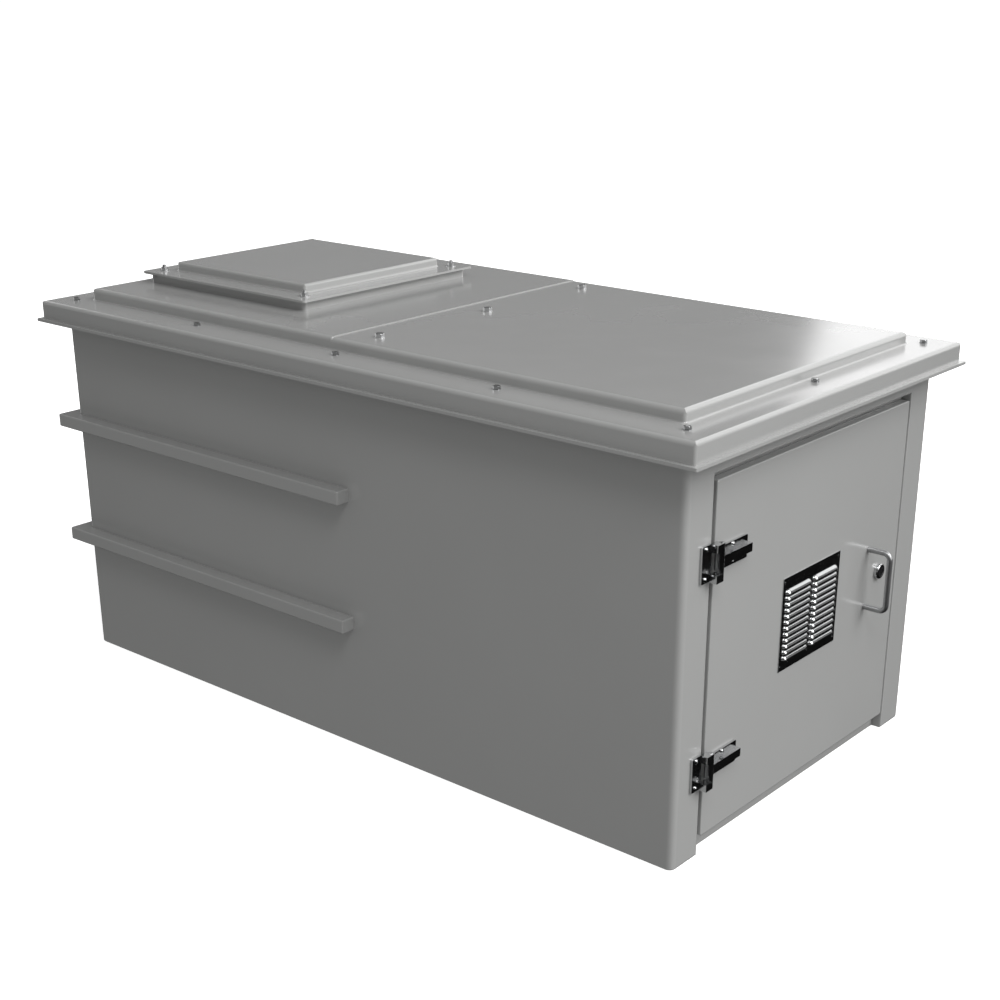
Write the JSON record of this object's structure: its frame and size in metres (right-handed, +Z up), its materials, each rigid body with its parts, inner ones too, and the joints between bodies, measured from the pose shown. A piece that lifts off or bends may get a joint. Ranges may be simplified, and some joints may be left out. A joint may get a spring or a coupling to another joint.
{
  "type": "roadside utility cabinet",
  "caption": "Long low glass-fibre utility cabinet with an overhanging bolted roof, a roof hatch, two rub rails and one hinged end door with a louvred vent, pull handle and cam lock.",
  "frame": {"origin": "middle of the base, at the centre of the floor bolt pattern, on the ground", "axes": "+X across the door towards the lock side, +Y from the door to the rear, +Z up"},
  "size_m": [0.984, 1.828, 0.917],
  "materials": {
    "gelcoat": "glossy grey gelcoat",
    "stainless": "satin",
    "polished_stainless": "polished",
    "aluminium": "mill",
    "rubber": "matt",
    "black_plug": "satin black"
  },
  "bodies": {
    "cabinet": {"body_shell": "gelcoat", "roof": "gelcoat", "roof_seal": "rubber", "roof_bolts": "stainless", "roof_washers": "stainless", "roof_nuts": "stainless", "roof_beam": "aluminium", "beam_bolts": "stainless", "beam_washers": "stainless", "beam_nuts": "stainless", "hatch_cover": "gelcoat", "hatch_seal": "rubber", "hatch_studs": "stainless", "hatch_washers": "stainless", "hatch_nuts": "stainless", "upper_rail": "gelcoat", "lower_rail": "gelcoat", "door_seal": "rubber", "upper_frame_leaf": "polished_stainless", "lower_frame_leaf": "polished_stainless", "upper_hinge_pin": "stainless", "lower_hinge_pin": "stainless", "hinge_washers": "stainless", "frame_leaf_bolts": "stainless", "frame_leaf_nuts": "stainless", "strike_plate": "stainless", "strike_rivets": "stainless"},
    "door": {"door_panel": "gelcoat", "upper_door_leaf": "polished_stainless", "lower_door_leaf": "polished_stainless", "door_leaf_bolts": "stainless", "door_leaf_nuts": "stainless", "vent_grille": "polished_stainless", "vent_rivets": "stainless", "pull_handle": "stainless", "handle_screws": "stainless", "handle_washers": "stainless", "lock_housing": "polished_stainless", "lock_nut": "stainless"},
    "lock": {"lock_plug": "black_plug", "lock_cam": "stainless", "cam_screw": "stainless"}
  },
  "joints": [
    {"name": "door_hinge", "type": "hinge", "parent": "cabinet", "child": "door", "pos_m": [-0.35, -0.876, 0.38925], "axis": [0, 0, -1], "range_deg": [0, 165]},
    {"name": "lock_turn", "type": "hinge", "parent": "door", "child": "lock", "pos_m": [0.279, -0.861, 0.39425], "axis": [0, -1, 0], "range_deg": [0, 90]}
  ]
}
